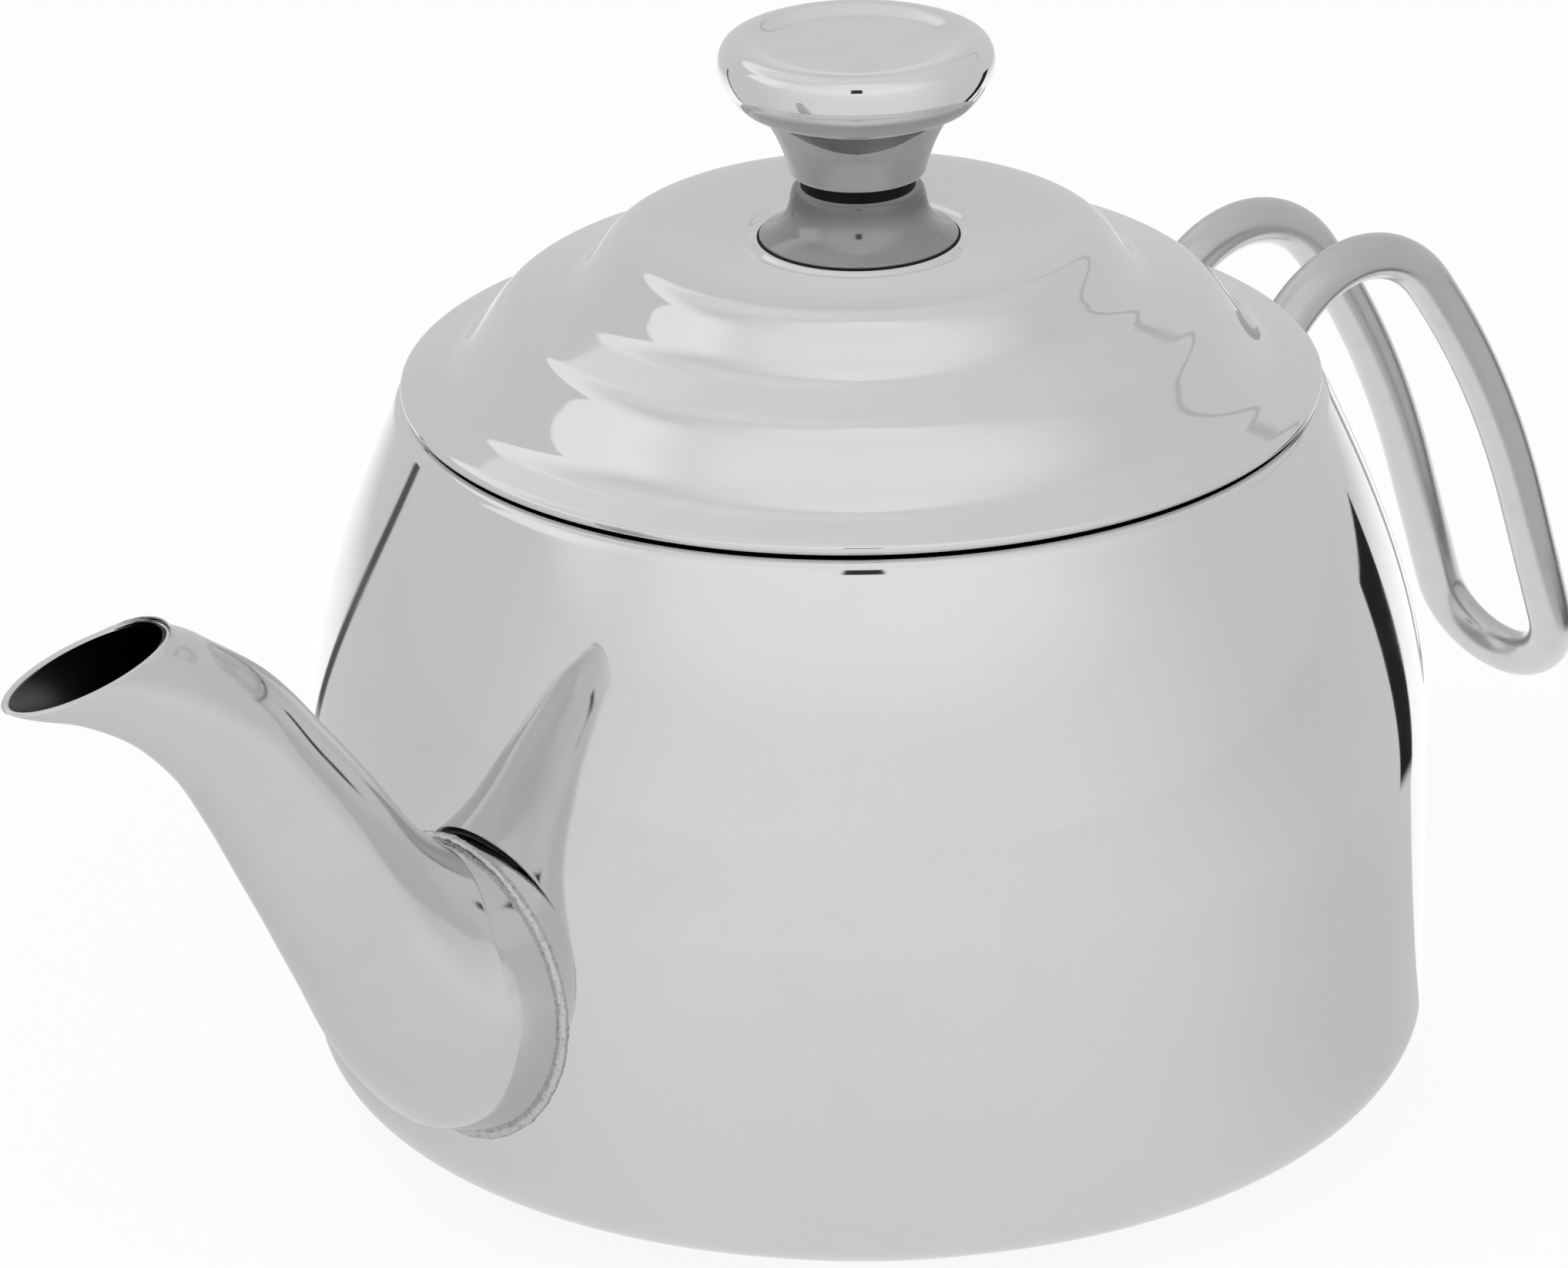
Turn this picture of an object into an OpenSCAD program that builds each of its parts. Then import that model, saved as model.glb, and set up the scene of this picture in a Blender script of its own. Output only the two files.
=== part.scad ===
// Small polished steel teapot: a round pot on a bonded heat disc, a swelling spout,
// a bent-rod loop handle and a stepped lid with a turned knob.
// Millimetres, +Z up. The origin is the centre of the foot's underside.
// The spout points along -X and the handle along +X.

/* [Show] */
// Which node is drawn

/* [Pot] */
// Outer radius of the pot wall at its widest
pot_r = 69.7; // [68:0.1:72]
// Thickness of the pot's steel sheet
sheet = 0.8; // [0.6:0.1:1.2]
// Height of the flat seat that the lid rests on
seat_z = 90.9; // [89:0.1:90.9]
// Radius of the opening inside the rolled mouth
mouth_r = 46.4; // [44:0.1:47]
// Rounding of the pot's lower corner
corner_r = 7.5; // [6:0.5:10]

/* [Foot] */
// Outer radius of the foot disc
foot_r = 58; // [54:0.5:59]
// Height of the foot disc
foot_h = 3.8; // [3:0.1:5]
// Thickness of the steel cap that wraps the foot's core
cap_sheet = 0.6; // [0.4:0.1:1]

/* [Spout] */
// Thickness of the spout's wall
spout_sheet = 0.9; // [0.7:0.1:1.2]
// Number of points around the spout
spout_sides = 36; // [24:4:48]
// Leg of the weld bead around the spout's root
bead_leg = 0.9; // [0.7:0.1:1.4]
// Diameter of the strainer holes behind the spout
strainer_d = 3; // [2:0.5:3.5]
// Distance between the strainer holes
strainer_pitch = 5.2; // [5:0.1:5.5]

/* [Handle] */
// Diameter of the handle's rod
rod_d = 6; // [5.5:0.1:6.6]
// Distance between the middles of the two limbs
limb_gap = 19.8; // [18:0.2:22]
// Bend radius of the handle's top arch
arch_r = 19.1; // [18:0.1:20]
// Bend radius of the long outer sweep
sweep_r = 124; // [120:1:130]

/* [Lid] */
// Outer radius of the lid's curled edge
lid_r = 56.3; // [56:0.1:57]
// Thickness of the lid's steel sheet
lid_sheet = 0.8; // [0.6:0.1:1]
// Outer radius of the ring that drops into the mouth
ring_r = 45.9; // [43:0.1:46]
// Depth of that ring below the seat
ring_drop = 8; // [5:0.5:12]

/* [Knob] */
// Outer radius of the knob's disc
knob_r = 16.8; // [16.4:0.1:17.2]
// Radius of the collar's flared foot
collar_r = 12.1; // [11:0.1:13]
// Radius of the screw that holds the knob
screw_r = 2; // [1.5:0.1:2.5]

/* [Hidden] */
$fn = 96;
polished = [0.80, 0.80, 0.81];
satin = [0.70, 0.70, 0.71];
black = [0.06, 0.06, 0.06];
eps = 0.01;

// ---- small helpers -------------------------------------------------------

// Point at t on a cubic curve
function bez(p, t) = pow(1 - t, 3) * p[0] + 3 * t * pow(1 - t, 2) * p[1]
    + 3 * t * t * (1 - t) * p[2] + pow(t, 3) * p[3];
// n steps along a cubic curve, without its first point
function bez_run(p, n) = [for (i = [1:n]) bez(p, i / n)];
// n steps along an arc, without its first point
function arc_run(c, r, a0, a1, n) =
    [for (i = [1:n]) let (a = a0 + (a1 - a0) * i / n) c + r * [cos(a), sin(a)]];
// Unit direction through point i of a path
function heading(p, i) = let (d = p[min(i + 1, len(p) - 1)] - p[max(i - 1, 0)]) d / norm(d);
// Outline of a sheet whose visible face is the path, t thick on the path's right
function sheet_outline(p, t) = concat(p,
    [for (i = [len(p) - 1:-1:0]) let (d = heading(p, i)) p[i] + t * [d[1], -d[0]]]);
// Smooth value between b and c at t, with a and d as the outer neighbours
function smooth4(a, b, c, d, t) = 0.5 * (2 * b + (c - a) * t
    + (2 * a - 5 * b + 4 * c - d) * t * t + (3 * b - a - 3 * c + d) * t * t * t);
// Row j of a table, held inside its ends
function row(tab, j) = tab[min(max(j, 0), len(tab) - 1)];
// A table with each gap cut in n smooth steps
function smooth_rows(tab, n) = concat(
    [for (j = [0:len(tab) - 2], k = [0:n - 1])
        smooth4(row(tab, j - 1), tab[j], tab[j + 1], row(tab, j + 2), k / n)],
    [tab[len(tab) - 1]]);

// ---- pot -----------------------------------------------------------------

side_top_z = 46;
rim_r = 57.3;
roll_r = 2.2;
// The shoulder draws in from the upright wall to just under the lid's edge
shoulder = [[pot_r, side_top_z], [pot_r, 62], [62, 79], [rim_r, seat_z - 1.5]];
brow = [shoulder[3], [rim_r - 0.4, seat_z - 0.6], [rim_r - 0.9, seat_z], [rim_r - 2, seat_z]];
// The pot's outer face from the middle of its floor to the lip inside the mouth
pot_path = concat(
    [[0, foot_h], [pot_r - corner_r, foot_h]],
    arc_run([pot_r - corner_r, foot_h + corner_r], corner_r, -90, 0, 8),
    [shoulder[0]], bez_run(shoulder, 14), bez_run(brow, 5),
    [[mouth_r + roll_r, seat_z]],
    arc_run([mouth_r + roll_r, seat_z - roll_r], roll_r, 90, 180, 5),
    [[mouth_r, seat_z - 5.6]]);
wall_table = [for (p = pot_path) if (p[0] > rim_r - 1 && p[1] < seat_z - 1) [p[1], p[0]]];
// Outer radius of the pot at height z
function pot_r_at(z) = lookup(z, wall_table);

// The sheet is laid on the inner side of the path, which here is its left
module pot_sheet() {
    rotate_extrude()
        polygon(sheet_outline([for (i = [len(pot_path) - 1:-1:0]) pot_path[i]], sheet));
}

// The pot's outer form, used to trim what is welded on
module pot_form() {
    rotate_extrude()
        polygon(concat([for (p = pot_path) p], [[0, seat_z - 5.6]]));
}

root_z = 33.7;
root_high = 18.7;
root_wide = 16.3;

module strainer_holes() {
    for (q = [-2:2], s = [-2:2])
        if (abs(q + s) <= 2)
            translate([-pot_r - 2, strainer_pitch * (q + s / 2),
                       root_z + strainer_pitch * s * sqrt(3) / 2])
                rotate([0, 90, 0])
                    cylinder(h = 14, r = strainer_d / 2, $fn = 24);
}

module body_shell() {
    color(polished)
        difference() {
            pot_sheet();
            strainer_holes();
        }
}

// ---- foot ----------------------------------------------------------------

edge_r = 1.2;

module base_cap() {
    color(polished)
        rotate_extrude()
            polygon(concat(
                [[0, 0], [foot_r - edge_r, 0]],
                arc_run([foot_r - edge_r, edge_r], edge_r, -90, 0, 5),
                [[foot_r, foot_h], [foot_r - cap_sheet, foot_h]],
                [[foot_r - cap_sheet, edge_r]],
                arc_run([foot_r - edge_r, edge_r], edge_r - cap_sheet, 0, -90, 4),
                [[0, cap_sheet]]));
}

module base_core() {
    color([0.72, 0.73, 0.74])
        translate([0, 0, cap_sheet])
            cylinder(h = foot_h - cap_sheet, r = foot_r - edge_r);
}

// ---- spout ---------------------------------------------------------------

// Sections from the mouth to the root: x, z, half height, half width, tilt
spout_table = [
    [-122.9, 92.1, 11.8, 5.8, 9.5],
    [-119.0, 90.4, 8.2, 6.2, 29.4],
    [-112.0, 86.1, 7.4, 7.2, 44.5],
    [-103.9, 78.9, 8.15, 8.2, 44.7],
    [-97.7, 70.6, 8.85, 8.8, 34.6],
    [-92.1, 62.1, 9.8, 9.75, 33.3],
    [-86.1, 52.4, 10.7, 10.8, 35.2],
    [-80.7, 44.4, 12.7, 12.9, 50.0],
    [-75.9, 35.8, 17.3, 15.8, 84.0]];
spout_rows = smooth_rows(spout_table, 3);

// One ring of the spout, t inside its outer face
function spout_ring(s, t) = [for (k = [0:spout_sides - 1])
    let (a = 360 * k / spout_sides, u = (s[2] - t) * cos(a), v = (s[3] - t) * sin(a))
        [s[0] + u * cos(s[4]), v, s[1] + u * sin(s[4])]];
// The ring where the spout meets the pot wall, t inside its outer face
function root_ring(t, lift) = [for (k = [0:spout_sides - 1])
    let (a = 360 * k / spout_sides, z = root_z + (root_high - t) * cos(a),
         y = (root_wide - t) * sin(a), r = pot_r_at(z) + lift)
        [-sqrt(r * r - y * y), y, z]];
function spout_rings(t) = concat([for (s = spout_rows) spout_ring(s, t)], [root_ring(t, 0)]);

// Quads between two rings that start at points a and b
function band(a, b, n, flip) = [for (k = [0:n - 1]) let (m = (k + 1) % n)
    flip ? [a + k, b + k, b + m, a + m] : [a + k, a + m, b + m, b + k]];

module spout() {
    outer = spout_rings(0);
    inner = spout_rings(spout_sheet);
    n = spout_sides;
    m = len(outer);
    pts = concat([for (r = outer, p = r) p], [for (r = inner, p = r) p]);
    faces = concat(
        [for (i = [0:m - 2]) for (f = band(i * n, (i + 1) * n, n, true)) f],
        [for (i = [0:m - 2]) for (f = band((m + i) * n, (m + i + 1) * n, n, false)) f],
        band(0, m * n, n, false),
        band((m - 1) * n, (2 * m - 1) * n, n, true));
    color(polished)
        polyhedron(points = pts, faces = faces, convexity = 6);
}

bead_gap = 0.05;
bead_swell = 0.93;
function unit(v) = v / norm(v);

// Section k of the bead: the corner, a leg up the pot wall, a swell and a leg up the spout
function bead_section(k, near, wide, last) =
    let (a = unit(wide[k] - near[k]), b = unit(last[k] - near[k]),
         off = unit(a - (a * b) * b), c = near[k] + bead_gap * off)
        [c, c + bead_leg * a, c + bead_swell * bead_leg * unit(a + b), c + bead_leg * b];

module spout_weld() {
    near = root_ring(0, bead_gap);
    wide = root_ring(-bead_leg, bead_gap);
    last = spout_ring(spout_table[len(spout_table) - 1], 0);
    pts = [for (k = [0:spout_sides - 1]) for (p = bead_section(k, near, wide, last)) p];
    color(satin)
        polyhedron(points = pts, convexity = 4, faces = [for (k = [0:spout_sides - 1])
            for (f = band(k * 4, ((k + 1) % spout_sides) * 4, 4, true)) f]);
}

// ---- handle --------------------------------------------------------------

rod_sides = 24;
arch_x = 79.9;
arch_z = 68.4;
arch_start = 140;
arch_end = 38.3;
sweep_end = 19.2;
tail = 20;
base_len = 5;
arch_mid = [arch_x, arch_z];
sweep_mid = arch_mid + (arch_r - sweep_r) * [cos(arch_end), sin(arch_end)];
base_dir = [-sin(arch_start), cos(arch_start)];
tail_dir = [sin(sweep_end), -cos(sweep_end)];
bend_mid = sweep_mid + sweep_r * [cos(sweep_end), sin(sweep_end)] + tail * tail_dir;

// Stations along one limb: x, z and the angle of the outward side
limb_line = concat(
    [let (a = arch_start, p = arch_mid + arch_r * [cos(a), sin(a)] + base_len * base_dir)
        [p[0], p[1], a]],
    [for (i = [0:14]) let (a = arch_start + (arch_end - arch_start) * i / 14,
        p = arch_mid + arch_r * [cos(a), sin(a)]) [p[0], p[1], a]],
    [for (i = [1:9]) let (a = arch_end + (sweep_end - arch_end) * i / 9,
        p = sweep_mid + sweep_r * [cos(a), sin(a)]) [p[0], p[1], a]]);

// Ring of points around the rod at p, with its two cross directions
function rod_ring(p, e, f) = [for (k = [0:rod_sides - 1])
    let (a = 360 * k / rod_sides) p + rod_d / 2 * (cos(a) * e + sin(a) * f)];
// Point p moved along the limb's first direction until it meets the pot
function to_pot(p, n) = n == 0 ? p :
    to_pot(p + (norm([p[0], p[1]]) - pot_r_at(p[2]) - 0.03) * 0.7
        * [base_dir[0], 0, base_dir[1]], n - 1);
function limb_ring(s, side) =
    rod_ring([s[0], side * limb_gap / 2, s[1]], [cos(s[2]), 0, sin(s[2])], [0, side, 0]);
function limb_rings(side) = concat(
    [[for (p = limb_ring(limb_line[0], side)) to_pot(p, 12)]],
    [for (i = [1:len(limb_line) - 1]) limb_ring(limb_line[i], side)]);
bend_rings = let (h = [tail_dir[0], 0, tail_dir[1]], e = [cos(sweep_end), 0, sin(sweep_end)])
    [for (i = [0:16]) let (a = 90 - 180 * i / 16)
        rod_ring([bend_mid[0], 0, bend_mid[1]] + limb_gap / 2 * (sin(a) * [0, 1, 0] + cos(a) * h),
                 e, sin(a) * [0, 1, 0] + cos(a) * h)];

module handle_rod() {
    back = limb_rings(-1);
    rings = concat(limb_rings(1), bend_rings, [for (i = [len(back) - 1:-1:0]) back[i]]);
    n = rod_sides;
    m = len(rings);
    mid0 = to_pot([limb_line[0][0], limb_gap / 2, limb_line[0][1]], 12);
    mid1 = to_pot([limb_line[0][0], -limb_gap / 2, limb_line[0][1]], 12);
    pts = concat([for (r = rings, p = r) p], [mid0, mid1]);
    color(satin)
        polyhedron(points = pts, convexity = 8, faces = concat(
            [for (i = [0:m - 2]) for (f = band(i * n, (i + 1) * n, n, false)) f],
            [for (k = [0:n - 1]) [m * n, (k + 1) % n, k]],
            [for (k = [0:n - 1]) [m * n + 1, (m - 1) * n + k, (m - 1) * n + (k + 1) % n]]));
}

base_x = arch_mid[0] + arch_r * cos(arch_start);
base_z = arch_mid[1] + arch_r * sin(arch_start);
weld_r = 4.8;

module handle_weld(side) {
    color(satin)
        difference() {
            translate(to_pot([base_x, side * limb_gap / 2, base_z], 20))
                sphere(r = weld_r, $fn = 32);
            pot_form();
            translate([base_x, side * limb_gap / 2, base_z])
                rotate([0, 360 - arch_start, 0])
                    cylinder(h = 14, r = rod_d / 2 + 0.03, $fn = 48);
        }
}

module handle_weld_left() { handle_weld(1); }
module handle_weld_right() { handle_weld(-1); }

// ---- lid -----------------------------------------------------------------

edge_z = 92.2;
curl_r = 1;
top_z = 110.1;
seat_rise = 0.3;
// The lid's face outward from the knob: a shallow dish, then three tiers with steep steps
crown = [[14.6, 110.1], [18.6, 110.5], [24.5, 111.6], [28.3, 111.0]];
first_drop = [crown[3], [30.4, 110.6], [31.3, 108.8], [32.6, 107.1]];
first_foot = [first_drop[3], [33.8, 105.4], [34.7, 104.5], [36.2, 104.1]];
middle = [41.8, 102.8];
second_drop = [middle, [43.6, 102.4], [44.6, 100.9], [45.7, 99.4]];
second_foot = [second_drop[3], [47.3, 97.2], [48.9, 94.3], [51.2, 93.7]];
brim = [54.6, 93.0];
lip = [brim, [55.6, 92.8], [lid_r, 92.7], [lid_r, edge_z]];
lid_skin = concat(bez_run(crown, 6), bez_run(first_drop, 5), bez_run(first_foot, 5), [middle],
    bez_run(second_drop, 5), bez_run(second_foot, 6), [brim], bez_run(lip, 3),
    arc_run([lid_r - curl_r, edge_z], curl_r, 0, -90, 4),
    [[lid_r - 4.2, edge_z - curl_r]]);
// The middle of the lid is raised a little where the knob stands
seat_foot_z = top_z - seat_rise;
lid_base = concat([[screw_r + 0.3, seat_foot_z], [13.4, seat_foot_z], crown[0]], lid_skin);
lid_path = concat([[screw_r + 0.3, top_z], [12.6, top_z], [12.95, top_z - 0.12],
    [13.2, seat_foot_z], crown[0]], lid_skin);
lid_inner = sheet_outline(lid_base, lid_sheet);

module lid_shell() {
    color(polished)
        rotate_extrude()
            polygon(concat(lid_path,
                [for (i = [len(lid_base):len(lid_inner) - 1]) lid_inner[i]]));
}

ring_sheet = 0.8;
ring_top_z = 98.6;
ring_slant = 1;

module lid_locating_ring() {
    color(polished)
        rotate_extrude()
            polygon([[ring_r - ring_sheet, seat_z - ring_drop], [ring_r, seat_z - ring_drop],
                     [ring_r, ring_top_z - ring_slant], [ring_r - ring_sheet, ring_top_z]]);
}

weld_count = 6;

module lid_ring_welds() {
    color(satin)
        for (i = [0:weld_count - 1])
            rotate([0, 0, 30 + 360 * i / weld_count])
                translate([ring_r - ring_sheet - 0.9, 0, ring_top_z - 1.2])
                    cylinder(h = 1.4, r = 0.9, $fn = 24);
}

// ---- knob ----------------------------------------------------------------

gasket_h = 0.3;
collar_z = top_z + gasket_h;
collar_top = 116.7;
gap_top = 118.5;
washer_h = 0.8;
head_h = 2.6;
under_z = seat_foot_z - lid_sheet;
bore_top = 128;

module knob_foot_gasket() {
    color(black)
        translate([0, 0, top_z])
            difference() {
                cylinder(h = gasket_h, r = collar_r + 0.3);
                translate([0, 0, -eps])
                    cylinder(h = gasket_h + 2 * eps, r = screw_r + 0.3);
            }
}

module knob_collar() {
    color(polished)
        rotate_extrude()
            polygon(concat(
                [[screw_r + 0.2, collar_z], [collar_r, collar_z], [collar_r, collar_z + 0.3]],
                bez_run([[collar_r, collar_z + 0.3], [10.4, collar_z + 1],
                         [8.7, collar_z + 2.1], [8.3, 115.2]], 7),
                bez_run([[8.3, 115.2], [8.2, 115.9], [8.15, collar_top - 0.3],
                         [7.95, collar_top - 0.1]], 3),
                [[7.6, collar_top], [screw_r + 0.2, collar_top]]));
}

module knob_insulator() {
    color(black)
        translate([0, 0, collar_top])
            difference() {
                cylinder(h = gap_top - collar_top, r = 7);
                translate([0, 0, -eps])
                    cylinder(h = gap_top - collar_top + 2 * eps, r = screw_r + 0.2);
            }
}

module knob_head() {
    color(polished)
        rotate_extrude()
            polygon(concat(
                [[screw_r, gap_top], [7.6, gap_top], [8.1, gap_top + 0.12], [8.3, gap_top + 0.4]],
                bez_run([[8.3, gap_top + 0.4], [8.8, 121.1], [9.9, 124.1], [11.9, 126.5]], 8),
                [[12.0, 127.1], [13.8, 127.5]],
                bez_run([[13.8, 127.5], [14.6, 127.7], [15.7, 129.0], [16.3, 130.4]], 4),
                bez_run([[16.3, 130.4], [knob_r, 131.7], [knob_r + 0.1, 133.1], [16.4, 134.1]], 5),
                bez_run([[16.4, 134.1], [16, 135.1], [14.9, 135.5], [13.7, 135.4]], 4),
                bez_run([[13.7, 135.4], [12.2, 135.2], [11.6, 134.7], [10.2, 134.6]], 3),
                [[0, 134.6], [0, bore_top], [screw_r, bore_top]]));
}

module knob_screw_washer() {
    color(satin)
        translate([0, 0, under_z - washer_h])
            difference() {
                cylinder(h = washer_h, r = 5);
                translate([0, 0, -eps])
                    cylinder(h = washer_h + 2 * eps, r = screw_r + 0.2, $fn = 48);
            }
}

module knob_screw() {
    head_z = under_z - washer_h - head_h;
    color(satin)
        difference() {
            union() {
                translate([0, 0, head_z + 1])
                    cylinder(h = head_h - 1, r = 3.8, $fn = 48);
                translate([0, 0, head_z])
                    cylinder(h = 1, r1 = 3, r2 = 3.8, $fn = 48);
                translate([0, 0, head_z + head_h - eps])
                    cylinder(h = bore_top - 0.5 - head_z - head_h, r = screw_r, $fn = 48);
            }
            translate([-4, -0.5, head_z - 1])
                cube([8, 1, 2.2]);
        }
}

body_shell();
spout();
spout_weld();
base_core();
base_cap();
handle_rod();
handle_weld_left();
handle_weld_right();
lid_shell();
lid_locating_ring();
lid_ring_welds();
knob_screw();
knob_screw_washer();
knob_foot_gasket();
knob_collar();
knob_insulator();
knob_head();
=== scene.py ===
import math

import bmesh
import bpy
from mathutils import Matrix, Vector, noise


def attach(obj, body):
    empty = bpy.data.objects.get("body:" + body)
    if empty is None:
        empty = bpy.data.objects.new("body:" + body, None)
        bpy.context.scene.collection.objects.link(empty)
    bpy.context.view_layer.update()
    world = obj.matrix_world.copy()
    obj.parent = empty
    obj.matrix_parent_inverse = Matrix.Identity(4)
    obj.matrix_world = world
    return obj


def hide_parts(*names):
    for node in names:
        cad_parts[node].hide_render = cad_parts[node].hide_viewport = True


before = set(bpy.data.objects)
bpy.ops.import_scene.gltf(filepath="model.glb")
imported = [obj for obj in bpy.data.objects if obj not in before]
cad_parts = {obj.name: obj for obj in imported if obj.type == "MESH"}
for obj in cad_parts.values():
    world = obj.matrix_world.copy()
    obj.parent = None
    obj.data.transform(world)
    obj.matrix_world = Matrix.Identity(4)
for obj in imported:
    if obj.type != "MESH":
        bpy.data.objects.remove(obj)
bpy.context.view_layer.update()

MM = 0.001


# ---- shader wiring -------------------------------------------------------

class Wire:
    """One value travelling through a material, with ordinary arithmetic."""

    def __init__(self, board, plug):
        self.board, self.plug = board, plug

    def __add__(self, other): return self.board.sum("ADD", self, other)
    def __radd__(self, other): return self.board.sum("ADD", other, self)
    def __sub__(self, other): return self.board.sum("SUBTRACT", self, other)
    def __rsub__(self, other): return self.board.sum("SUBTRACT", other, self)
    def __mul__(self, other): return self.board.sum("MULTIPLY", self, other)
    def __rmul__(self, other): return self.board.sum("MULTIPLY", other, self)
    def __truediv__(self, other): return self.board.sum("DIVIDE", self, other)


class Board:
    """The node tree of one material or of the world."""

    def __init__(self, tree):
        self.tree = tree
        tree.nodes.clear()

    def node(self, kind, settings=None, inputs=None):
        made = self.tree.nodes.new(kind)
        for key, value in (settings or {}).items():
            setattr(made, key, value)
        for key, value in (inputs or {}).items():
            if isinstance(value, Wire):
                self.tree.links.new(value.plug, made.inputs[key])
            else:
                made.inputs[key].default_value = value
        return made

    def out(self, made, key=0):
        return Wire(self, made.outputs[key])

    def sum(self, how, a, b):
        return self.out(self.node("ShaderNodeMath", {"operation": how}, {0: a, 1: b}))

    def only(self, how, a):
        return self.out(self.node("ShaderNodeMath", {"operation": how}, {0: a}))

    def upper(self, a, b): return self.sum("MAXIMUM", a, b)

    def ease(self, value, low, high, first=0.0, last=1.0):
        """first below low, last above high, and a smooth step between."""
        return self.out(self.node(
            "ShaderNodeMapRange", {"interpolation_type": "SMOOTHSTEP"},
            {"Value": value, "From Min": low, "From Max": high, "To Min": first, "To Max": last}))

    def mix(self, share, a, b):
        """Colour a where share is 0 and colour b where it is 1."""
        return self.out(self.node(
            "ShaderNodeMix", {"data_type": "RGBA"}, {"Factor": share, 6: a, 7: b}), 2)

    def place(self):
        """Position on the object, in metres, which stays with it as it moves."""
        return self.out(self.node("ShaderNodeTexCoord"), "Object")

    def stretch(self, vector, scale):
        return self.out(self.node(
            "ShaderNodeVectorMath", {"operation": "MULTIPLY"}, {0: vector, 1: scale}))

    def parts(self, vector):
        split = self.node("ShaderNodeSeparateXYZ", inputs={0: vector})
        return [self.out(split, i) for i in range(3)]

    def grain(self, at, scale, detail=3.0, rough=0.55, swirl=0.0):
        """Smooth noise between 0 and 1; scale is cells per metre."""
        return self.out(self.node("ShaderNodeTexNoise", {"noise_dimensions": "3D"}, {
            "Vector": at, "Scale": scale, "Detail": detail, "Roughness": rough,
            "Distortion": swirl}))

    def bumps(self, height, depth, strength=1.0):
        """Surface direction for a height between 0 and 1, depth metres deep."""
        return self.out(self.node("ShaderNodeBump", inputs={
            "Height": height, "Distance": depth, "Strength": strength}))


def finish_of(name, constants):
    """A new material: its board, its main shader and itself."""
    mat = bpy.data.materials.new(name)
    mat.use_nodes = True
    board = Board(mat.node_tree)
    shader = board.node("ShaderNodeBsdfPrincipled", inputs=constants)
    end = board.node("ShaderNodeOutputMaterial")
    board.tree.links.new(shader.outputs[0], end.inputs[0])
    return board, shader, mat


def feed(board, shader, **wires):
    for key, wire in wires.items():
        board.tree.links.new(wire.plug, shader.inputs[key.replace("_", " ")])


# ---- materials -----------------------------------------------------------

def polished(name, tone, gloss, smear=0.05, wave=0.000004, scratch=0.0000015):
    """Buffed steel: a clear reflection, faint smears, hairlines and slow waves of the sheet."""
    board, shader, mat = finish_of(name, {"Metallic": 1.0, "IOR": 2.5})
    at = board.place()
    smears = board.grain(at, 42, 4, 0.6, 1.2)
    specks = board.grain(at, 900, 2, 0.5)
    lines_a = board.grain(board.stretch(at, (60, 60, 2600)), 1.0, 2, 0.6)
    lines_b = board.grain(board.stretch(at, (1900, 240, 300)), 1.0, 2, 0.6)
    slow = board.grain(at, 14, 2, 0.5)
    rough = gloss + board.ease(smears, 0.42, 0.75) * smear + specks * 0.012
    shade = board.ease(smears, 0.3, 0.8, 1.0, 0.965) * (0.985 + specks * 0.03)
    colour = board.mix(shade, (0.30, 0.30, 0.30, 1), tone)
    height = slow * wave / scratch + lines_a * 0.5 + lines_b * 0.5
    feed(board, shader, Base_Color=colour, Roughness=rough,
         Normal=board.bumps(height, scratch))
    return mat


TURN = math.radians(-45)     # the view stands this far round from the part's own front


def turned_steel(name, tone, gloss, clear, dull, amount, lens_at=None):
    """Lathe-turned steel with painted shade: darker and rougher between two heights.

    clear and dull are the heights where the painted shade starts and where it is full; it stands
    for the shade under the knob's head. The last argument is the height range of a painted lens of
    shade under the head, deepest at its front towards the view.
    """
    board, shader, mat = finish_of(name, {"Metallic": 1.0, "IOR": 2.5})
    at = board.place()
    across, depth, height = board.parts(at)
    smears = board.grain(at, 60, 4, 0.6, 1.2)
    specks = board.grain(at, 900, 2, 0.5)
    lines = board.grain(board.stretch(at, (90, 90, 3600)), 1.0, 2, 0.6)
    # painted shade: colour darkens and roughens between the two heights, for the shade under the
    # knob's head
    painted_shade = board.ease(height, clear, dull) * amount * (0.85 + smears * 0.3)
    if lens_at:
        low, high = lens_at
        facing = ((across * math.sin(TURN) - depth * math.cos(TURN))
                  / board.only("SQRT", across * across + depth * depth + 0.0000001))
        foot = (facing - 0.72) * (low - high) / 0.28 + high
        # painted lens of shade under the head's disc, deepest at the front that faces the view
        painted_lens = (board.ease(height - foot, -0.0001, 0.0002)
                 * board.ease(height, high + 0.0004, high) * board.ease(facing, 0.70, 0.76))
        painted_shade = painted_shade + painted_lens * (0.32 + smears * 0.2)
    rough = gloss + board.ease(smears, 0.42, 0.75) * 0.05 + specks * 0.012 + painted_shade * 0.10
    # the smears are the steel's own tone; the painted shade darkens the colour towards near black
    colour = board.mix(board.ease(smears, 0.3, 0.8) * 0.05 + painted_shade, tone, (0.08, 0.08, 0.08, 1))
    feed(board, shader, Base_Color=colour, Roughness=rough,
         Normal=board.bumps(lines * 0.6 + specks * 0.4, 0.0000015))
    return mat


def satin(name, tone, gloss):
    """Bent rod, buffed by hand: a soft reflection with a faint lengthwise grain."""
    board, shader, mat = finish_of(name, {"Metallic": 1.0})
    at = board.place()
    grain = board.grain(board.stretch(at, (300, 900, 300)), 1.0, 3, 0.6)
    spots = board.grain(at, 180, 3, 0.6)
    rough = gloss + grain * 0.05 + board.ease(spots, 0.5, 0.8) * 0.06
    colour = board.mix(board.ease(spots, 0.4, 0.8) * 0.2, tone, (0.42, 0.42, 0.43, 1))
    feed(board, shader, Base_Color=colour, Roughness=rough,
         Normal=board.bumps(grain * 0.6 + spots * 0.4, 0.000006))
    return mat


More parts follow.
